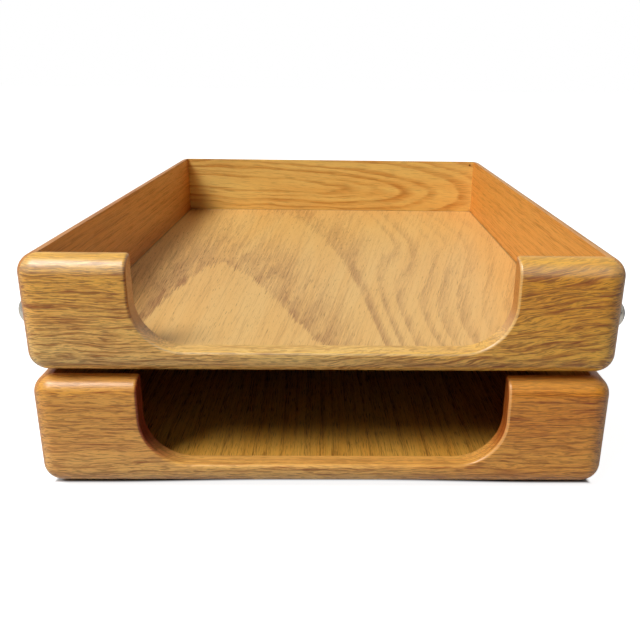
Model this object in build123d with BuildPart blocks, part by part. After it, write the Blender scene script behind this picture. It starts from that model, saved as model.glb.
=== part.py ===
from build123d import *
import os
from math import sqrt

# A stack of two equal oak letter trays. The lower tray stands on its four feet, and the upper tray stands
# on the lower tray's rim. Millimetres, +Z up, the front faces -Y, and the origin is the middle of the
# footprint on the table.

# Outer form of one tray, all its outer edges rounded over
tray_width = 273.0
tray_depth = 362.0
tray_height = 55.0
board_thickness = 9.5
# Flat strip left at the inner edge of the rim, inside the rounding
rim_flat = 0.5
# How much larger the upright corners are rounded than the rim
corner_extra_radius = 1.5

# Cut-out in the front board, through which papers are picked up
cutout_width = 173.0
cutout_lip_height = 11.4
cutout_corner_radius = 23.5
# Easing of the cut-out's front edge, which also rounds the ears' upper corners
cutout_ease = 1.5

# Floor panel, loose in a groove round the four boards
floor_height = 10.5
floor_thickness = 4.8
groove_depth = 4.5
floor_edge_gap = 0.4
floor_face_gap = 0.1

# Splines, the hardwood keys across the mitred corner joints
spline_thickness = 3.0
spline_width = 8.0
spline_end_cover = 2.5
spline_gap = 0.1

# Blocks under the floor, along the sides in each corner, and the round feet stuck on them
block_width = 24.0
block_length = 46.0
block_chamfer = 8.0
foot_diameter = 19.0
foot_height = 3.2
foot_from_corner = 31.0
foot_overhang = 3.0
foot_edge_radius = 0.6

# Domed metal studs on the upper tray's sides
stud_head_diameter = 14.5
stud_head_height = 5.4
stud_edge_height = 0.8
stud_shank_diameter = 4.0
stud_shank_length = 6.5
stud_from_front = 18.0
stud_above_bottom = 25.5
stud_hole_gap = 0.05

# What follows from these sizes
rim_radius = board_thickness - rim_flat
corner_radius = rim_radius + corner_extra_radius
inner_width = tray_width - 2 * board_thickness
inner_depth = tray_depth - 2 * board_thickness
floor_underside = floor_height - floor_thickness
stack_pitch = tray_height + foot_height

# How far a cut runs past the face that it starts from
past = 1.0

# Which way a board or a corner lies from the middle, along X and Y
LEFT, RIGHT = -1, 1
FRONT, BACK = -1, 1
sides = {"left": LEFT, "right": RIGHT}
corners = {
    "front_left": (LEFT, FRONT),
    "front_right": (RIGHT, FRONT),
    "back_left": (LEFT, BACK),
    "back_right": (RIGHT, BACK),
}


def save(piece, name):
    """Labels a finished piece and writes it to its own file."""
    piece.label = name
    export_step(piece, f"parts/{name}.step")


def outer_form(bottom):
    """The solid outer form of a tray, before it is parted into boards."""
    with BuildPart() as form:
        with BuildSketch(Plane.XY.offset(bottom)):
            RectangleRounded(tray_width, tray_depth, corner_radius)
        extrude(amount=tray_height)
        levels = form.edges().group_by(Axis.Z)
        fillet(levels[0] + levels[-1], radius=rim_radius)
    return form.part


def board_outline(side_x, side_y):
    """The mitred outline, seen from above, of the board on one side of the tray."""
    outer_x = tray_width / 2
    outer_y = tray_depth / 2
    inner_x = inner_width / 2
    inner_y = inner_depth / 2
    if side_y:
        return [
            (-outer_x, side_y * outer_y),
            (outer_x, side_y * outer_y),
            (inner_x, side_y * inner_y),
            (-inner_x, side_y * inner_y),
        ]
    return [
        (side_x * outer_x, -outer_y),
        (side_x * outer_x, outer_y),
        (side_x * inner_x, inner_y),
        (side_x * inner_x, -inner_y),
    ]


def spline_place(side_x, side_y):
    """The middle of a corner's mitre face, and how far a spline there is turned."""
    mitre_depth = sqrt(2) * board_thickness - (sqrt(2) - 1) * corner_radius
    step = mitre_depth / 2 / sqrt(2)
    place = (side_x * (inner_width / 2 + step), side_y * (inner_depth / 2 + step))
    return place, -45 * side_x * side_y


def spline_levels(bottom):
    """The heights between which a spline lies, above the floor and below the rim's rounding."""
    low = bottom + floor_height + spline_end_cover
    high = bottom + tray_height - rim_radius - spline_end_cover
    return low, high


def make_board(form, bottom, side_x, side_y):
    """One board: the outer form between two mitres, with the floor's groove and the splines' slots."""
    with BuildPart() as board:
        with BuildSketch(Plane.XY.offset(bottom)):
            with BuildLine():
                Polyline(*board_outline(side_x, side_y), close=True)
            make_face()
        extrude(amount=tray_height)
        add(form, mode=Mode.INTERSECT)
        # Groove for the floor panel, as deep in each board
        with BuildSketch(Plane.XY.offset(bottom + floor_underside - floor_face_gap)):
            Rectangle(inner_width + 2 * groove_depth, inner_depth + 2 * groove_depth)
        extrude(amount=floor_thickness + 2 * floor_face_gap, mode=Mode.SUBTRACT)
        # Slots for the splines in both mitre faces
        low, high = spline_levels(bottom)
        with BuildSketch(Plane.XY.offset(low - spline_gap)):
            for corner_x, corner_y in corners.values():
                place, turn = spline_place(corner_x, corner_y)
                with Locations(place):
                    Rectangle(spline_width + 2 * spline_gap, spline_thickness + 2 * spline_gap, rotation=turn)
        extrude(amount=high - low + 2 * spline_gap, mode=Mode.SUBTRACT)
    return board.part


def make_front_board(form, bottom):
    """The front board, with its U-shaped cut-out eased along the front."""
    plain_board = make_board(form, bottom, 0, FRONT)
    lip = bottom + cutout_lip_height
    top = bottom + tray_height + past
    half = cutout_width / 2
    cutout_points = [(-half, top), (-half, lip), (half, lip), (half, top)]
    with BuildPart() as board:
        add(plain_board)
        with BuildSketch(Plane.XZ.offset(tray_depth / 2 + past)):
            with BuildLine():
                FilletPolyline(*cutout_points, radius=cutout_corner_radius)
                Line((half, top), (-half, top))
            make_face()
        extrude(amount=-board_thickness - 2 * past, mode=Mode.SUBTRACT)
        # The easing starts on the lip and runs on round the corners and up over the ears
        lip_edges = board.edges().filter_by(Axis.X).filter_by_position(Axis.Z, lip - 0.01, lip + 0.01)
        fillet(lip_edges.sort_by(Axis.Y)[0], radius=cutout_ease)
    return board.part


def stud_seat(bottom, side_x):
    """The point on a side board's outer face where its stud's head is seated."""
    return side_x * tray_width / 2, stud_from_front - tray_depth / 2, bottom + stud_above_bottom


def make_studded_side(form, bottom, side_x):
    """A side board of the upper tray, with the blind hole for its stud."""
    plain_board = make_board(form, bottom, side_x, 0)
    with BuildPart() as board:
        add(plain_board)
        with BuildSketch(Plane(origin=stud_seat(bottom, side_x), z_dir=(-side_x, 0, 0))):
            Circle(stud_shank_diameter / 2 + stud_hole_gap)
        extrude(amount=stud_shank_length + stud_hole_gap, mode=Mode.SUBTRACT)
    return board.part


def make_floor(bottom):
    """The floor panel, loose in its groove by the gaps at its edges and faces."""
    reach = 2 * (groove_depth - floor_edge_gap)
    with BuildPart() as floor:
        with BuildSketch(Plane.XY.offset(bottom + floor_underside)):
            Rectangle(inner_width + reach, inner_depth + reach)
        extrude(amount=floor_thickness)
    return floor.part


def make_spline(bottom, side_x, side_y):
    """The key across one mitre."""
    low, high = spline_levels(bottom)
    place, turn = spline_place(side_x, side_y)
    with BuildPart() as spline:
        with BuildSketch(Plane.XY.offset(low)):
            with Locations(place):
                Rectangle(spline_width, spline_thickness, rotation=turn)
        extrude(amount=high - low)
    return spline.part


def make_corner_block(bottom, side_x, side_y):
    """The block glued under the floor in one corner, its free corner cut off."""
    outer_x = side_x * inner_width / 2
    outer_y = side_y * inner_depth / 2
    free_x = outer_x - side_x * block_width
    free_y = outer_y - side_y * block_length
    outline = [
        (outer_x, outer_y),
        (outer_x, free_y),
        (free_x + side_x * block_chamfer, free_y),
        (free_x, free_y + side_y * block_chamfer),
        (free_x, outer_y),
    ]
    with BuildPart() as block:
        with BuildSketch(Plane.XY.offset(bottom)):
            with BuildLine():
                Polyline(*outline, close=True)
            make_face()
        extrude(amount=floor_underside - floor_face_gap)
    return block.part


def make_foot(bottom, side_x, side_y):
    """The round foot on one corner block, reaching out under the side to bear on the rim below."""
    inset = foot_diameter / 2 - foot_overhang
    middle = (side_x * (inner_width / 2 - inset), side_y * (inner_depth / 2 - foot_from_corner))
    with BuildPart() as foot:
        with BuildSketch(Plane.XY.offset(bottom - foot_height)):
            with Locations(middle):
                Circle(foot_diameter / 2)
        extrude(amount=foot_height)
        fillet(foot.edges().group_by(Axis.Z)[0], radius=foot_edge_radius)
    return foot.part


def make_stud(bottom, side_x):
    """A domed stud: its shank in the side board, its head seated on the board's outer face."""
    head_radius = stud_head_diameter / 2
    shank_radius = stud_shank_diameter / 2
    dome_height = stud_head_height - stud_edge_height
    dome_radius = (head_radius**2 + dome_height**2) / (2 * dome_height)
    # The profile's own Y runs outwards, square to the board
    stud_plane = Plane(origin=stud_seat(bottom, side_x), x_dir=(0, 0, 1), z_dir=(0, side_x, 0))
    with BuildPart() as stud:
        with BuildSketch(stud_plane):
            with BuildLine():
                Polyline(
                    (0, stud_head_height),
                    (0, -stud_shank_length),
                    (shank_radius, -stud_shank_length),
                    (shank_radius, 0),
                    (head_radius, 0),
                    (head_radius, stud_edge_height),
                )
                RadiusArc((head_radius, stud_edge_height), (0, stud_head_height), -dome_radius)
            make_face()
        revolve(axis=Axis(stud_plane.origin, stud_plane.y_dir))
    return stud.part


os.makedirs("parts", exist_ok=True)
for tray, bottom in (("lower", foot_height), ("upper", foot_height + stack_pitch)):
    form = outer_form(bottom)
    save(make_front_board(form, bottom), f"{tray}_front_board")
    save(make_board(form, bottom, 0, BACK), f"{tray}_back_board")
    for side, side_x in sides.items():
        if tray == "upper":
            save(make_studded_side(form, bottom, side_x), f"{tray}_{side}_side")
            save(make_stud(bottom, side_x), f"{tray}_{side}_stud")
        else:
            save(make_board(form, bottom, side_x, 0), f"{tray}_{side}_side")
    save(make_floor(bottom), f"{tray}_floor_panel")
    for corner, (corner_x, corner_y) in corners.items():
        save(make_spline(bottom, corner_x, corner_y), f"{tray}_{corner}_spline")
        save(make_corner_block(bottom, corner_x, corner_y), f"{tray}_{corner}_block")
        save(make_foot(bottom, corner_x, corner_y), f"{tray}_{corner}_foot")
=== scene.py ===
import math

import bpy
from mathutils import Matrix, Vector


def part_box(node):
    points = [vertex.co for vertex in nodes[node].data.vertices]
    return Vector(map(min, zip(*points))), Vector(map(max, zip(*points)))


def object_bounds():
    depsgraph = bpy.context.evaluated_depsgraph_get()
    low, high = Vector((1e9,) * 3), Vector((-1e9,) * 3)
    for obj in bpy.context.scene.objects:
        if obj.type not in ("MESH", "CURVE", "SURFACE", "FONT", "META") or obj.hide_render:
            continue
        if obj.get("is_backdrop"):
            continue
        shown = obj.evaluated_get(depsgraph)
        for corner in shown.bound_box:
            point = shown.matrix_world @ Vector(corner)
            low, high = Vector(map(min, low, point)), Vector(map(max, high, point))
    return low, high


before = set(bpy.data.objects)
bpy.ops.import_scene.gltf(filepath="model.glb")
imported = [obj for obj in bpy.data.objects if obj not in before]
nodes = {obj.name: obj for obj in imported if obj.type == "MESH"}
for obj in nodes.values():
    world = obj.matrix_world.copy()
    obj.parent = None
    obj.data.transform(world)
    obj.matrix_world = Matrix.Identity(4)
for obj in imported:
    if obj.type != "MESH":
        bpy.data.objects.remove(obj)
cad_low, cad_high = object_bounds()

# The two front boards: solid oak, 9.5 mm thick, with the cut-out through which papers are picked up.
# The grain runs along the board, and a stained satin lacquer makes it golden, with the pores left open.


def srgb(red, green, blue):
    """A colour given as it shows on a screen, 0 to 255, as the linear colour that a socket takes."""
    parts = (value / 255 for value in (red, green, blue))
    return (*(p / 12.92 if p < 0.04045 else ((p + 0.055) / 1.055) ** 2.4 for p in parts), 1.0)


def node(tree, kind, inputs=None, **settings):
    """Adds a node, links the inputs that are sockets and sets the others."""
    made = tree.nodes.new(kind)
    for name, value in settings.items():
        setattr(made, name, value)
    for name, value in (inputs or {}).items():
        if isinstance(value, bpy.types.NodeSocket):
            tree.links.new(value, made.inputs[name])
        else:
            made.inputs[name].default_value = value
    return made


def calc(tree, operation, *values):
    """A Math node's result from sockets or numbers."""
    return node(tree, "ShaderNodeMath", dict(enumerate(values)), operation=operation).outputs[0]


def vector_calc(tree, operation, *vectors):
    """A Vector Math node's result from sockets or vectors."""
    return node(tree, "ShaderNodeVectorMath", dict(enumerate(vectors)), operation=operation).outputs[0]


def split(tree, vector):
    """A vector's X, Y and Z."""
    return node(tree, "ShaderNodeSeparateXYZ", {0: vector}).outputs


def combine(tree, x=0.0, y=0.0, z=0.0):
    """The vector that X, Y and Z make."""
    return node(tree, "ShaderNodeCombineXYZ", {0: x, 1: y, 2: z}).outputs[0]


def ramp(tree, value, low, high, to_low=0.0, to_high=1.0):
    """A smooth step from to_low to to_high while value goes from low to high."""
    inputs = {"Value": value, "From Min": low, "From Max": high, "To Min": to_low, "To Max": to_high}
    return node(tree, "ShaderNodeMapRange", inputs, interpolation_type="SMOOTHSTEP").outputs[0]


def mix(tree, share, first, second, blend="MIX"):
    """A colour between two others. With the blend MULTIPLY, the second one stains the first."""
    factor, a, b = 0, 6, 7
    inputs = {factor: share, a: first, b: second}
    return node(tree, "ShaderNodeMix", inputs, data_type="RGBA", blend_type=blend).outputs[2]


def noise(tree, vector, scale=1.0, detail=2.0):
    """Soft random values between 0 and 1 over a vector."""
    inputs = {"Vector": vector, "Scale": scale, "Detail": detail}
    return node(tree, "ShaderNodeTexNoise", inputs).outputs["Fac"]


def noise_along(tree, length, detail):
    """Soft random values between 0 and 1 along a single length."""
    inputs = {"W": length, "Scale": 1.0, "Detail": detail}
    return node(tree, "ShaderNodeTexNoise", inputs, noise_dimensions="1D").outputs["Fac"]


def streaks(tree, vector, along, across, detail=2.0):
    """Noise about zero, drawn out along X: its marks are about so many millimetres long and wide."""
    stretched = vector_calc(tree, "MULTIPLY", vector, (1 / along, 1 / across, 1 / across))
    return calc(tree, "SUBTRACT", noise(tree, stretched, detail=detail), 0.5)


def enlarged(tree, vector, along, across):
    """A vector for noise whose marks come out so many times longer along X and wider across it."""
    return vector_calc(tree, "DIVIDE", vector, combine(tree, along, across, across))


def group(name, inputs, outputs):
    """A new node group with named sockets: its tree, the values that it is given, and its results."""
    tree = bpy.data.node_groups.new(name, "ShaderNodeTree")
    kinds = {"vector": "NodeSocketVector", "colour": "NodeSocketColor", "value": "NodeSocketFloat"}
    for label, kind in inputs.items():
        tree.interface.new_socket(label, in_out="INPUT", socket_type=kinds[kind])
    for label, kind in outputs.items():
        tree.interface.new_socket(label, in_out="OUTPUT", socket_type=kinds[kind])
    return tree, node(tree, "NodeGroupInput").outputs, node(tree, "NodeGroupOutput").inputs


def make_figure():
    """How far each point of a sawn board lies from the log's heart line, and which way its fibres run.

    The heart line runs along X in millimetres. Near it the growth rings close in arches that point
    along X, and away from it they run straight and may flare apart.
    """
    arches = ("Arch Radius", "Arch Length", "Arch Growth", "Arch Point", "Arch Reach", "Flare", "Belly")
    fibres = ("Waviness", "Wave Length", "Feather", "Teeth", "Fibre Lean", "Fibre Fan", "Seed")
    inputs = {"Board": "vector", **{name: "value" for name in arches + fibres}}
    outputs = {"Along": "value", "Across": "value", "Deep": "value", "Radius": "value"}
    tree, given, out = group("oak_figure", inputs, outputs)
    board = given["Board"]
    at = split(tree, board)
    # The rings bend in waves a quarter as wide as they are long. The seed gives each board its own waves
    wave_width = calc(tree, "MULTIPLY", given["Wave Length"], 0.25)
    waves = enlarged(tree, board, given["Wave Length"], wave_width)
    waves = vector_calc(tree, "ADD", waves, combine(tree, x=given["Seed"], z=given["Seed"]))
    bend = calc(tree, "MULTIPLY", calc(tree, "SUBTRACT", noise(tree, waves), 0.5), given["Waviness"])
    # The fibres bend less than the rings, lean from the heart line and fan out along it. Their marks
    # reach some way into the board, so that they run on round an edge
    fibre_bend = 0.4
    fibre_depth = 4.0
    seed_step = 400.0
    lean = calc(tree, "MULTIPLY", at[0], given["Fibre Lean"])
    fan = calc(tree, "MULTIPLY_ADD", calc(tree, "MAXIMUM", at[0], 0.0), given["Fibre Fan"], 1.0)
    side = calc(tree, "MULTIPLY_ADD", bend, fibre_bend, at[1])
    side = calc(tree, "DIVIDE", calc(tree, "SUBTRACT", side, lean), fan)
    shift = calc(tree, "MULTIPLY", given["Seed"], seed_step)
    deep = calc(tree, "DIVIDE", at[2], fibre_depth)
    grain = (calc(tree, "ADD", at[0], shift), side, calc(tree, "ADD", deep, shift))
    for value, label in zip(grain, ("Along", "Across", "Deep")):
        tree.links.new(value, out[label])
    # A ring that crosses the fibres is drawn out along them into fine teeth
    teeth = streaks(tree, combine(tree, *grain), along=16.0, across=0.7)
    along = calc(tree, "MAXIMUM", calc(tree, "MULTIPLY_ADD", teeth, given["Teeth"], at[0]), 0.0)
    across = calc(tree, "ABSOLUTE", calc(tree, "ADD", at[1], bend))
    # Rings far from the heart line run apart as they go, and nearer ones swell halfway along
    board_length = 340.0
    flare_length = 230.0
    far = ramp(tree, across, 75.0, 130.0)
    apart = calc(tree, "MULTIPLY", far, ramp(tree, along, 0.0, flare_length))
    flare = calc(tree, "MULTIPLY_ADD", apart, given["Flare"], 1.0)
    nearer = calc(tree, "MULTIPLY", ramp(tree, across, 40.0, 80.0), ramp(tree, across, 90.0, 115.0, 1.0, 0.0))
    halfway = calc(tree, "SINE", calc(tree, "MULTIPLY", along, math.pi / board_length))
    swell = calc(tree, "MULTIPLY", nearer, halfway)
    flare = calc(tree, "MULTIPLY_ADD", swell, given["Belly"], flare)
    across = calc(tree, "DIVIDE", across, flare)
    # Towards the arches' reach they count less, and beyond it the rings run straight
    point = given["Arch Point"]
    climb = calc(tree, "POWER", calc(tree, "DIVIDE", along, given["Arch Length"]), given["Arch Growth"])
    climb = calc(tree, "POWER", calc(tree, "MULTIPLY", climb, given["Arch Radius"]), point)
    outwards = calc(tree, "DIVIDE", across, given["Arch Reach"])
    outwards = calc(tree, "POWER", calc(tree, "MINIMUM", outwards, 1.0), point)
    climb = calc(tree, "MULTIPLY", climb, calc(tree, "SUBTRACT", 1.0, outwards))
    radius = calc(tree, "ADD", calc(tree, "POWER", across, point), climb)
    radius = calc(tree, "POWER", radius, calc(tree, "DIVIDE", 1.0, point))
    tree.links.new(calc(tree, "MULTIPLY_ADD", teeth, given["Feather"], radius), out["Radius"])
    return tree


def make_oak():
    """Lacquered oak, its grain along X in millimetres: rings, fibres, open pores and a drift of colour."""
    colours = ("Late Wood", "Early Wood", "Blush", "Pore", "End")
    values = ("Early", "Figure", "Ground", "Fibres", "Fibre Width", "Drift", "Stroke")
    values += ("Pores", "Pore Share", "Pore Width", "End Share")
    inputs = {"Grain": "vector", "Facing": "vector"}
    inputs.update({name: "colour" for name in colours})
    inputs.update({name: "value" for name in values})
    outputs = {"Color": "colour", "Roughness": "value", "Height": "value"}
    tree, given, out = group("oak", inputs, outputs)
    # The rings' early wood is darker in some places than in others
    patches = streaks(tree, given["Grain"], along=45.0, across=7.0)
    early = calc(tree, "MULTIPLY", given["Early"], ramp(tree, patches, -0.12, 0.1, to_low=0.45))
    # Fine short fibres lie among long ones
    short_share = 0.9
    grain = enlarged(tree, given["Grain"], given["Stroke"], 1.0)
    long_fibre = streaks(tree, grain, along=90.0, across=1.2, detail=3.0)
    short_fibre = enlarged(tree, grain, 1.0, given["Fibre Width"])
    short_fibre = streaks(tree, short_fibre, along=24.0, across=0.4)
    fibre = calc(tree, "MULTIPLY_ADD", short_fibre, short_share, long_fibre)
    # The wood's own colour drifts along the board, and the rings and the fibres darken it
    drift = ramp(tree, streaks(tree, grain, along=170.0, across=12.0), -0.14, 0.16)
    wood = mix(tree, calc(tree, "MULTIPLY", drift, given["Drift"]), given["Late Wood"], given["Blush"])
    shade = calc(tree, "MULTIPLY_ADD", early, given["Figure"], given["Ground"])
    shade = calc(tree, "MULTIPLY_ADD", fibre, given["Fibres"], shade)
    shade = node(tree, "ShaderNodeClamp", {"Value": shade}).outputs[0]
    wood = mix(tree, shade, wood, given["Early Wood"])
    # Pores are cut lengthwise into short dark lines, most of them in the early wood
    crowding_by_rings = 0.14
    crowding = calc(tree, "MULTIPLY_ADD", early, crowding_by_rings, given["Pore Share"])
    rows = enlarged(tree, grain, 1.0, given["Pore Width"])
    coarse = calc(tree, "ADD", streaks(tree, rows, along=13.0, across=1.0, detail=1.0), crowding)
    fine = calc(tree, "ADD", streaks(tree, rows, along=5.0, across=0.6, detail=0.0), crowding)
    pores = calc(tree, "MAXIMUM", ramp(tree, coarse, 0.06, 0.18), ramp(tree, fine, 0.12, 0.24, to_high=0.5))
    # At the ends of the board the stain sinks in, and the lacquer fills the pores
    ends = ramp(tree, calc(tree, "ABSOLUTE", split(tree, given["Facing"])[0]), 0.72, 0.95)
    ends = calc(tree, "MULTIPLY", ends, given["End Share"])
    pores = calc(tree, "MULTIPLY", pores, calc(tree, "SUBTRACT", 1.0, ends))
    wood = mix(tree, calc(tree, "MULTIPLY", pores, given["Pores"]), wood, given["Pore"])
    wood = mix(tree, ends, wood, given["End"])
    tree.links.new(wood, out["Color"])
    # The pores are duller than the lacquer between them, and sunk into it
    lacquer_roughness = 0.42
    lacquer_level = 0.5
    pore_depth = 0.8
    dull = calc(tree, "MULTIPLY_ADD", pores, 0.15, lacquer_roughness)
    tree.links.new(calc(tree, "MULTIPLY_ADD", fibre, 0.2, dull), out["Roughness"])
    height = calc(tree, "MULTIPLY_ADD", fibre, 0.7, lacquer_level)
    sunk = calc(tree, "MULTIPLY", pores, pore_depth)
    tree.links.new(calc(tree, "SUBTRACT", height, sunk), out["Height"])
    return tree


figure_group = make_figure()
oak_group = make_oak()


def even_rings(tree, radius, width):
    """Rings of about one width: each starts dark and sharp, and fades into the late wood."""
    # Lean and fat years follow each other slowly, so the rings' widths differ
    change_per_ring = 0.4
    unevenness = 1.4
    sharp_start = 0.06
    fade_power = 1.6
    count = calc(tree, "DIVIDE", radius, width)
    years = noise_along(tree, calc(tree, "MULTIPLY", count, change_per_ring), detail=1.0)
    ring = calc(tree, "FRACT", calc(tree, "MULTIPLY_ADD", years, unevenness, count))
    fade = calc(tree, "POWER", calc(tree, "SUBTRACT", 1.0, ring), fade_power)
    return calc(tree, "MULTIPLY", fade, ramp(tree, ring, 0.0, sharp_start))


def counted_rings(tree, radius, rings):
    """Rings counted from the heart line: where each starts, how wide its early wood is, and how dark."""
    reach = rings[-1][0] + rings[-1][1]
    profile = node(tree, "ShaderNodeValToRGB", {0: calc(tree, "DIVIDE", radius, reach)})
    stops = profile.color_ramp.elements
    stops[1].color = stops[0].color
    # A ring starts within less than a millimetre, and its early wood ends just short of its width
    edge = 0.8
    filled = 0.98
    fullness = 0.75
    for start, width, dark in rings:
        for place, value in ((start - edge, 0.0), (start, dark), (start + width * filled, 0.0)):
            stops.new(place / reach).color = (value, value, value, 1.0)
    return calc(tree, "POWER", profile.outputs["Color"], fullness)


def new_material(name):
    """A new material, with its node tree and its shader."""
    material = bpy.data.materials.new(name)
    material.use_nodes = True
    return material, material.node_tree, material.node_tree.nodes["Principled BSDF"]


def oak(
    name,
    heart,
    figure,
    finish,
    along_y=False,
    roll=0.0,
    lean=0.0,
    rings=5.0,
    faded=0.0,
    stains=(),
    marks=(),
    gloss=0.5,
):
    """The oak of one board.

    The heart line starts at a point in metres and runs along the board. Roll turns the sawn face about
    the grain, and lean turns the heart line in that face. Rings is their width in millimetres or a list
    of them, and faded is the share by which they are fainter at the far end. Each of the stains and marks
    pairs a colour with the function that gives its share over the board. A stain lets the grain show,
    and a mark covers it.
    """
    figures = {
        "Arch Radius": 0.0,
        "Arch Length": 100.0,
        "Arch Growth": 1.0,
        "Arch Point": 1.3,
        "Arch Reach": 100.0,
        "Waviness": 6.0,
        "Wave Length": 90.0,
        "Feather": 1.5,
        "Teeth": 0.0,
    }
    finishes = {
        "Late Wood": srgb(222, 168, 96),
        "Early Wood": srgb(168, 110, 48),
        "Blush": srgb(214, 148, 74),
        "Pore": srgb(110, 62, 22),
        "End": srgb(214, 142, 70),
        "Figure": 0.4,
        "Ground": 0.0,
        "Fibres": 1.1,
        "Fibre Width": 1.0,
        "Drift": 0.6,
        "Pores": 0.6,
        "Pore Share": 0.0,
        "Pore Width": 0.6,
        "Stroke": 1.0,
        "End Share": 0.0,
    }
    figures.update(figure)
    finishes.update(finish)
    material, tree, shader = new_material(name)
    turn = Matrix.Rotation(math.radians(lean), 3, "Z") @ Matrix.Rotation(math.radians(roll), 3, "X")
    if along_y:
        turn = turn @ Matrix.Rotation(math.radians(-90.0), 3, "Z")
    millimetres = 1000.0
    source = node(tree, "ShaderNodeTexCoord").outputs
    place = {
        "Vector": source["Object"],
        "Location": -(turn @ Vector(heart)) * millimetres,
        "Rotation": turn.to_euler(),
        "Scale": (millimetres,) * 3,
    }
    board = node(tree, "ShaderNodeMapping", place).outputs[0]
    facing = {"Vector": source["Normal"], "Rotation": turn.to_euler()}
    facing = node(tree, "ShaderNodeMapping", facing, vector_type="VECTOR").outputs[0]
    lines = tree.nodes.new("ShaderNodeGroup")
    lines.node_tree = figure_group
    wood = tree.nodes.new("ShaderNodeGroup")
    wood.node_tree = oak_group
    for made, values in ((lines, figures), (wood, finishes)):
        for label, value in values.items():
            made.inputs[label].default_value = value
    tree.links.new(board, lines.inputs["Board"])
    grain = combine(tree, *(lines.outputs[label] for label in ("Along", "Across", "Deep")))
    tree.links.new(grain, wood.inputs["Grain"])
    tree.links.new(facing, wood.inputs["Facing"])
    radius = lines.outputs["Radius"]
    early = counted_rings(tree, radius, rings) if isinstance(rings, list) else even_rings(tree, radius, rings)
    fade_start, fade_end = 110.0, 230.0
    fading = ramp(tree, split(tree, board)[0], fade_start, fade_end, 1.0, 1.0 - faded)
    early = calc(tree, "MULTIPLY", early, fading)
    tree.links.new(early, wood.inputs["Early"])
    colour = wood.outputs["Color"]
    for share, stained in stains:
        colour = mix(tree, share(tree, source), colour, stained, "MULTIPLY")
    for share, marked in marks:
        colour = mix(tree, share(tree, source), colour, marked)
    tree.links.new(colour, shader.inputs["Base Color"])
    tree.links.new(wood.outputs["Roughness"], shader.inputs["Roughness"])
    bump = {"Height": wood.outputs["Height"], "Strength": 0.5, "Distance": 0.0002}
    tree.links.new(node(tree, "ShaderNodeBump", bump).outputs[0], shader.inputs["Normal"])
    shader.inputs["Specular IOR Level"].default_value = gloss * 0.5
    shader.inputs["Coat Weight"].default_value = gloss
    shader.inputs["Coat Roughness"].default_value = 0.28
    return material


def dress(name, material):
    """Gives a CAD piece its finish, and nothing else about it changes."""
    piece = nodes[name]
    piece.data.materials.clear()
    piece.data.materials.append(material)


def in_cutout(tree, source):
    """One on the cut-out's own faces and their easing, and zero on the ears beside them."""
    half_width = 0.0865
    from_middle = calc(tree, "ABSOLUTE", split(tree, source["Object"])[0])
    return ramp(tree, from_middle, half_width + 0.003, half_width + 0.006, 1.0, 0.0)


def painted_edge_highlight(tree, source):
    """The eased edge up the right side of the cut-out, painted pale: a painted highlight where the light
    catches it.
    """
    facing = split(tree, source["Normal"])
    turned = ramp(tree, calc(tree, "MULTIPLY", facing[0], facing[1]), 0.1, 0.35, to_high=0.5)
    return calc(tree, "MULTIPLY", turned, in_cutout(tree, source))


def stained_and_shaded_cut_ends(tree, source):
    """The cut-out's curved corners: end grain that drank more stain, and painted shade on the left faces."""
    facing = split(tree, source["Normal"])[0]
    left = ramp(tree, facing, 0.25, 0.65)
    right = ramp(tree, facing, -0.65, -0.25, 0.2, 0.0)
    return calc(tree, "MULTIPLY", calc(tree, "MAXIMUM", left, right), in_cutout(tree, source))


def cut_rings(tree, source):
    """The growth rings that the cut-out lays bare as fine dark lines along its faces."""
    lines_per_metre = 1000.0
    depth = calc(tree, "MULTIPLY", split(tree, source["Object"])[1], lines_per_metre)
    lines = ramp(tree, noise_along(tree, depth, detail=0.0), 0.52, 0.62)
    forwards = calc(tree, "ABSOLUTE", split(tree, source["Normal"])[1])
    cut = ramp(tree, forwards, 0.3, 0.7, 1.0, 0.0)
    return calc(tree, "MULTIPLY", calc(tree, "MULTIPLY", lines, cut), in_cutout(tree, source))


def rubbed_and_lit_top(tree, source):
    """Faces that look up, on the rim and lip: painted light, and partly the stain rubbed thin by papers."""
    return ramp(tree, split(tree, source["Normal"])[2], 0.3, 0.9, to_high=0.42)


def painted_rim_sheen(tree, source):
    """The front of the rim's rounding, painted pale: a painted sheen of the light on the lacquer."""
    up = split(tree, source["Normal"])[2]
    rounding = ramp(tree, up, 0.0, 0.4, to_high=0.22)
    return calc(tree, "MULTIPLY", rounding, ramp(tree, up, 0.5, 0.95, 1.0, 0.0))


def darker_right_half(tree, source):
    """The board's right half, which is coloured darker and more orange."""
    return ramp(tree, split(tree, source["Object"])[0], -0.02, 0.12)


def under_rim(piece):
    """A warmer, darker colour under a board's rim, which fades towards the board's foot."""
    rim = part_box(piece)[1].z

    def share(tree, source):
        return ramp(tree, split(tree, source["Object"])[2], rim - 0.052, rim - 0.012)

    return share


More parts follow.
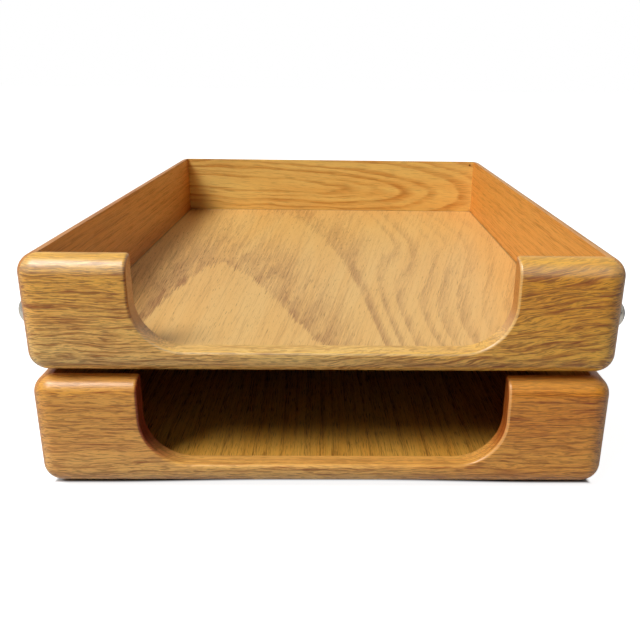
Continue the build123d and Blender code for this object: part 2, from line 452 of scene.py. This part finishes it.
front_finish = {
    "Figure": 0.22,
    "Fibre Width": 1.5,
    "Drift": 0.4,
    "Pore Width": 0.5,
    "End Share": 0.8,
}
upper_front = oak(
    "oak_upper_front",
    heart=(0.0, -0.181, -0.03),
    roll=-78.0,
    gloss=0.75,
    stains=(
        (darker_right_half, srgb(251, 236, 160)),
        (under_rim("upper_front_board"), srgb(255, 236, 170)),
        # Stain in the end grain, with painted shade on the cut-out's left faces
        (stained_and_shaded_cut_ends, srgb(232, 206, 190)),
    ),
    marks=(
        # Painted light on the faces that look up, partly wear
        (rubbed_and_lit_top, srgb(255, 206, 102)),
        # Painted sheen on the rim's rounding
        (painted_rim_sheen, srgb(255, 240, 206)),
        # Painted highlight up the cut-out's right edge
        (painted_edge_highlight, srgb(252, 206, 130)),
    ),
    figure={"Waviness": 14.0, "Wave Length": 36.0, "Fibre Fan": 0.0016, "Seed": 0.4},
    finish={
        **front_finish,
        "Late Wood": srgb(255, 208, 118),
        "Early Wood": srgb(178, 103, 18),
        "Blush": srgb(250, 185, 92),
        "Pore": srgb(138, 76, 12),
        "End": srgb(196, 128, 60),
        "Ground": 0.15,
        "Fibres": 3.0,
        "Stroke": 0.45,
        "Pore Share": 0.005,
    },
)
lower_front = oak(
    "oak_lower_front",
    heart=(0.0, -0.181, -0.09),
    roll=-65.0,
    gloss=0.65,
    stains=(
        (darker_right_half, srgb(251, 232, 184)),
        (under_rim("lower_front_board"), srgb(244, 226, 184)),
        # Stain in the end grain, with painted shade on the cut-out's left faces
        (stained_and_shaded_cut_ends, srgb(206, 148, 190)),
        (cut_rings, srgb(208, 150, 150)),
    ),
    marks=(
        # Painted light on the faces that look up, partly wear
        (rubbed_and_lit_top, srgb(255, 192, 96)),
        # Painted highlight up the cut-out's right edge
        (painted_edge_highlight, srgb(252, 190, 120)),
    ),
    figure={"Waviness": 12.0, "Wave Length": 40.0, "Seed": 2.1},
    finish={
        **front_finish,
        "Late Wood": srgb(255, 198, 108),
        "Early Wood": srgb(178, 96, 34),
        "Blush": srgb(250, 176, 86),
        "Pore": srgb(144, 74, 16),
        "End": srgb(196, 122, 66),
        "Ground": 0.08,
        "Fibres": 2.5,
        "Stroke": 0.5,
        "Pores": 0.55,
    },
)
dress("upper_front_board", upper_front)
dress("lower_front_board", lower_front)

# The two back boards, oak like the front. They were sawn near the bark side of the log, so that the rings
# show as long arches that point to the right.

# Each ring's start from the heart line and the width of its early wood, in millimetres, and how dark it is
back_rings = [(5.5, 2.0, 0.7), (9.0, 1.5, 0.4), (13.0, 2.5, 1.0), (18.0, 2.0, 0.8), (25.0, 3.5, 1.0)]
back_rings += [(31.0, 2.0, 0.6), (37.0, 2.5, 0.6), (44.0, 2.0, 0.5)]


def nail_hole(tree, source):
    """The dark end of a pin through the mitre, close under the rim."""
    ends = {0: source["Object"], 1: (0.124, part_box("upper_back_board")[0].y, 0.1134)}
    away = node(tree, "ShaderNodeVectorMath", ends, operation="DISTANCE").outputs["Value"]
    return ramp(tree, away, 0.0006, 0.0011, 0.85, 0.0)


def outer_face(tree, source):
    """The board's outer face, which was stained more than the inner one."""
    return ramp(tree, split(tree, source["Normal"])[1], 0.1, 0.7, to_high=0.5)


for tray, seed in (("upper", 0.9), ("lower", 1.6)):
    low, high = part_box(f"{tray}_back_board")
    back = oak(
        f"oak_{tray}_back",
        heart=(-0.127, high.y, high.z - 0.019),
        roll=-90.0,
        lean=2.5,
        rings=back_rings,
        gloss=0.35,
        marks=((nail_hole, srgb(60, 30, 10)), (outer_face, srgb(214, 136, 52))),
        figure={
            "Arch Radius": 13.0,
            "Arch Length": 192.0,
            "Arch Growth": 2.7,
            "Arch Point": 2.0,
            "Arch Reach": 150.0,
            "Waviness": 8.0,
            "Wave Length": 50.0,
            "Feather": 1.8,
            "Seed": seed,
        },
        finish={
            "Late Wood": srgb(245, 208, 118),
            "Early Wood": srgb(212, 137, 50),
            "Blush": srgb(238, 184, 94),
            "Figure": 0.75,
            "Fibres": 0.45,
            "Pores": 0.25,
        },
    )
    dress(f"{tray}_back_board", back)

# The four side boards, oak, with the grain along the tray. They are mitred to the front and back boards.
# The two on the left are painted darker, as painted shade, and the two on the right paler, as painted light.

shaded_and_lit_side_colours = {
    "left": {"Late Wood": srgb(224, 152, 68), "Early Wood": srgb(168, 93, 28), "Blush": srgb(216, 138, 54)},
    "right": {"Late Wood": srgb(244, 173, 79), "Early Wood": srgb(212, 129, 46), "Blush": srgb(244, 163, 68)},
}
board_seeds = {"upper_left": 0.3, "upper_right": 1.2, "lower_left": 2.2, "lower_right": 3.1}
for place, seed in board_seeds.items():
    side = place.split("_")[1]
    low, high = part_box(f"{place}_side")
    board = oak(
        f"oak_{place}_side",
        heart=(low.x, 0.0, low.z - 0.08),
        along_y=True,
        roll=-75.0,
        figure={"Waviness": 5.0, "Wave Length": 110.0, "Seed": seed},
        finish={
            **shaded_and_lit_side_colours[side],
            "Fibres": 0.9,
            "Pores": 0.3,
            "Pore Width": 0.45,
            "Stroke": 1.6,
        },
    )
    dress(f"{place}_side", board)

# The two floor panels, thin plywood faced with oak, held loosely in a groove round the four boards. The upper
# one's facing was cut flat, with tall arches that open to the front, and the lower one's has straight grain.

floor_rings = [(51.0, 23.0, 0.75), (78.6, 3.8, 0.85), (86.0, 3.0, 0.7), (93.0, 5.5, 0.7)]
floor_rings += [(104.0, 4.0, 0.55), (111.5, 7.0, 0.4), (121.0, 8.0, 0.5)]
floor_rings += [(134.0, 6.0, 0.4), (147.0, 6.0, 0.4), (160.0, 6.0, 0.3)]


def joint(tree, source):
    """Where finish and dust have gathered along the panel's edge."""
    inner_x, inner_y = 0.127, 0.1715
    from_middle = split(tree, vector_calc(tree, "ABSOLUTE", source["Object"]))
    past_x = calc(tree, "SUBTRACT", from_middle[0], inner_x)
    past_y = calc(tree, "SUBTRACT", from_middle[1], inner_y)
    return ramp(tree, calc(tree, "MAXIMUM", past_x, past_y), -0.0018, -0.0002, to_high=0.55)


def underside(tree, source):
    """The panel's lower face, painted dark: painted shade for the dark space under it."""
    return ramp(tree, split(tree, source["Normal"])[2], -0.6, -0.3, 1.0, 0.0)


def paler(tree, source):
    """The facing's right half, which is paler wood."""
    return ramp(tree, split(tree, source["Object"])[0], -0.06, 0.06, to_high=0.3)


arched = {
    "Arch Radius": 51.0,
    "Arch Length": 169.0,
    "Arch Growth": 0.56,
    "Arch Point": 1.1,
    "Arch Reach": 80.0,
    "Flare": 0.5,
    "Belly": 0.06,
    "Waviness": 3.0,
    "Wave Length": 130.0,
    "Feather": 1.6,
    "Teeth": 34.0,
    "Fibre Lean": -0.17,
    "Fibre Fan": 0.0022,
    "Seed": 0.2,
}
straight = {"Waviness": 9.0, "Wave Length": 170.0, "Seed": 1.4}
floor_finish = {
    "Figure": 1.0,
    "Fibres": 1.3,
    "Fibre Width": 1.1,
    "Pores": 0.7,
    "Pore Share": -0.085,
    "Pore Width": 0.5,
    "Stroke": 0.8,
}
upper_finish = {
    **floor_finish,
    "Late Wood": srgb(240, 194, 118),
    "Early Wood": srgb(174, 122, 72),
    "Blush": srgb(237, 183, 102),
    "Pore": srgb(140, 94, 50),
}
lower_finish = {
    **floor_finish,
    "Late Wood": srgb(236, 176, 76),
    "Early Wood": srgb(168, 104, 28),
    "Blush": srgb(228, 156, 56),
    "Pore": srgb(132, 80, 24),
    "Figure": 0.4,
    "Fibres": 1.4,
    "Pore Share": -0.04,
}
edge = (joint, srgb(84, 48, 20))
# Painted shade on the panels' lower faces
underside_shade = (underside, srgb(92, 60, 36))
low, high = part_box("upper_floor_panel")
upper_floor = oak(
    "oak_upper_floor",
    heart=(-0.0485, -0.181, high.z),
    along_y=True,
    lean=-8.15,
    rings=floor_rings,
    faded=0.4,
    gloss=0.35,
    marks=((paler, srgb(252, 206, 130)), edge, underside_shade),
    figure=arched,
    finish=upper_finish,
)
low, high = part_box("lower_floor_panel")
lower_floor = oak(
    "oak_lower_floor",
    heart=(-0.2, -0.181, high.z),
    along_y=True,
    lean=-1.5,
    rings=7.0,
    gloss=0.35,
    marks=(edge, underside_shade),
    figure=straight,
    finish=lower_finish,
)
dress("upper_floor_panel", upper_floor)
dress("lower_floor_panel", lower_floor)

# The splines across the mitres and the blocks under the floor, plain hardwood offcuts. Both are glued in,
# and only the blocks' undersides are ever seen.

plain = {"Late Wood": srgb(206, 166, 112), "Early Wood": srgb(166, 122, 74), "Pores": 0.4}
spline_wood = oak("hardwood_spline", (0.0, 0.0, 0.0), {"Seed": 4.0}, plain, along_y=True, roll=90.0)
block_wood = oak("block_wood", (0.0, 0.0, 0.0), {"Seed": 5.0}, plain, along_y=True, roll=40.0)
corners = [f"{end}_{side}" for end in ("front", "back") for side in ("left", "right")]
for tray in ("lower", "upper"):
    for corner in corners:
        dress(f"{tray}_{corner}_spline", spline_wood)
        dress(f"{tray}_{corner}_block", block_wood)

# The eight feet, round pads of black rubber stuck under the corner blocks. They lift each tray a little, and
# those of the upper tray grip the lower one's rim.

rubber, tree, shader = new_material("foot_rubber")
place = node(tree, "ShaderNodeTexCoord").outputs["Object"]
dust = noise(tree, place, scale=420.0, detail=3.0)
tree.links.new(mix(tree, dust, srgb(30, 28, 27), srgb(52, 49, 46)), shader.inputs["Base Color"])
tree.links.new(ramp(tree, dust, 0.2, 0.8, 0.62, 0.85), shader.inputs["Roughness"])
skin = noise(tree, place, scale=2600.0, detail=1.0)
bump = node(tree, "ShaderNodeBump", {"Height": skin, "Strength": 0.3, "Distance": 0.00008})
tree.links.new(bump.outputs[0], shader.inputs["Normal"])
for tray in ("lower", "upper"):
    for corner in corners:
        dress(f"{tray}_{corner}_foot", rubber)

# The two studs on the upper tray's sides, domed steel driven into blind holes, with a bright nickel finish.
# The crown of the right one is painted dark, as a painted reflection of the dim room.

nickel, tree, shader = new_material("stud_metal")
place = node(tree, "ShaderNodeTexCoord").outputs["Object"]
wear = noise(tree, place, scale=900.0, detail=4.0)
ragged_edge = 0.0006
outwards = calc(tree, "MULTIPLY_ADD", wear, ragged_edge, split(tree, place)[0])
low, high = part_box("upper_right_stud")
# The right stud's crown is painted dark: a painted reflection of the dim room
crown = ramp(tree, outwards, high.x - 0.0020, high.x - 0.0015)
bright = mix(tree, wear, srgb(236, 226, 208), srgb(250, 242, 228))
dark_reflection = mix(tree, wear, srgb(34, 31, 30), srgb(52, 48, 46))
tree.links.new(mix(tree, crown, bright, dark_reflection), shader.inputs["Base Color"])
tree.links.new(ramp(tree, wear, 0.3, 0.7, 0.24, 0.42), shader.inputs["Roughness"])
tree.links.new(calc(tree, "SUBTRACT", 1.0, crown), shader.inputs["Metallic"])
for side in ("left", "right"):
    dress(f"upper_{side}_stud", nickel)

# The studio's floor, a plain pale sheet under the object. It shows white to the camera and in the gloss,
# and keeps the object's soft shadow.

bpy.ops.mesh.primitive_plane_add(size=12.0)
ground = bpy.context.object
ground.name = "ground"
ground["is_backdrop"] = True
paper, tree, shader = new_material("pale_floor")
shader.inputs["Base Color"].default_value = (0.5, 0.5, 0.5, 1.0)
shader.inputs["Roughness"].default_value = 0.9
shader.inputs["Emission Color"].default_value = (1.0, 1.0, 1.0, 1.0)
# Right under the object the floor doesn't glow, so the shadow there stays dark, most of all near the feet
half_size = (cad_high - cad_low) / 2
from_middle = vector_calc(tree, "ABSOLUTE", node(tree, "ShaderNodeTexCoord").outputs["Object"])
past_object = split(tree, vector_calc(tree, "SUBTRACT", from_middle, half_size))
past_object = calc(tree, "MAXIMUM", past_object[0], past_object[1])
by_feet = ramp(tree, split(tree, from_middle)[0], 0.02, 0.11, to_high=0.0023)
near = ramp(tree, calc(tree, "SUBTRACT", past_object, by_feet), -0.0125, -0.0100)
far = ramp(tree, past_object, 0.2, 1.5, to_low=0.92)
glow = calc(tree, "MULTIPLY", near, far)
path = node(tree, "ShaderNodeLightPath").outputs
seen = calc(tree, "MAXIMUM", path["Is Camera Ray"], path["Is Transmission Ray"])
glow_in_gloss = 0.1
seen = calc(tree, "MULTIPLY_ADD", path["Is Glossy Ray"], glow_in_gloss, seen)
tree.links.new(calc(tree, "MULTIPLY", seen, glow), shader.inputs["Emission Strength"])
ground.data.materials.append(paper)

# Plain soft studio light: one large soft panel above, to the left and in front, in a dim pale room. What
# the camera sees of the room is white, and so is the backdrop that the gloss shows.


def lamp(name, width, height, power, place, target):
    """An oblong soft panel that faces its target."""
    light = bpy.data.lights.new(name, "AREA")
    light.shape = "RECTANGLE"
    light.size = width
    light.size_y = height
    light.energy = power
    holder = bpy.data.objects.new(name, light)
    bpy.context.scene.collection.objects.link(holder)
    holder.location = place
    holder.rotation_euler = (Vector(target) - Vector(place)).to_track_quat("-Z", "Y").to_euler()
    return holder


aim = (0.0, -0.05, 0.08)
lamp("key", 1.2, 1.1, 58.5, (-1.18, -0.92, 1.98), aim)
lamp("fill", 1.2, 1.2, 1.5, (0.2, -1.7, 1.3), aim)
lamp("back", 1.2, 1.2, 4.0, (0.5, 0.9, 1.1), (0.0, 0.0, 0.06)).visible_glossy = False

world = bpy.data.worlds.new("pale_room")
bpy.context.scene.world = world
world.use_nodes = True
tree = world.node_tree
path = node(tree, "ShaderNodeLightPath").outputs
seen = calc(tree, "MAXIMUM", path["Is Camera Ray"], path["Is Transmission Ray"])
backdrop_in_gloss = 0.4
backwards = split(tree, node(tree, "ShaderNodeTexCoord").outputs["Generated"])[1]
backdrop = calc(tree, "MULTIPLY", ramp(tree, backwards, -0.2, 0.3), backdrop_in_gloss)
gloss = calc(tree, "MULTIPLY", path["Is Glossy Ray"], backdrop)
seen = calc(tree, "MAXIMUM", seen, gloss)
room = 0.018
background = tree.nodes["Background"]
background.inputs["Color"].default_value = (1.0, 1.0, 1.0, 1.0)
tree.links.new(calc(tree, "MULTIPLY_ADD", seen, 1.0 - room, room), background.inputs["Strength"])

# The camera, at the photograph's place and angle. Its lens is given by how many widths of the picture
# away the picture plane lies, and the picture was cropped a little to one side of the lens's axis.

lens_widths = 1.1384
axis_shift = -0.0505
camera_place = (0.0057, -0.48822, 0.19566)
pitch, yaw, roll = 19.19, 1.31, 0.80
camera = bpy.data.cameras.new("camera")
camera.sensor_width = 36.0
camera.lens = lens_widths * camera.sensor_width
camera.shift_x = axis_shift
camera.clip_start = 0.02
holder = bpy.data.objects.new("camera", camera)
bpy.context.scene.collection.objects.link(holder)
turn = Matrix.Rotation(math.radians(-yaw), 4, "Z")
turn = turn @ Matrix.Rotation(math.radians(90.0 - pitch), 4, "X")
turn = turn @ Matrix.Rotation(math.radians(roll), 4, "Z")
holder.matrix_world = Matrix.Translation(camera_place) @ turn
bpy.context.scene.camera = holder
bpy.context.scene.view_settings.view_transform = "Standard"

low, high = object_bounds()
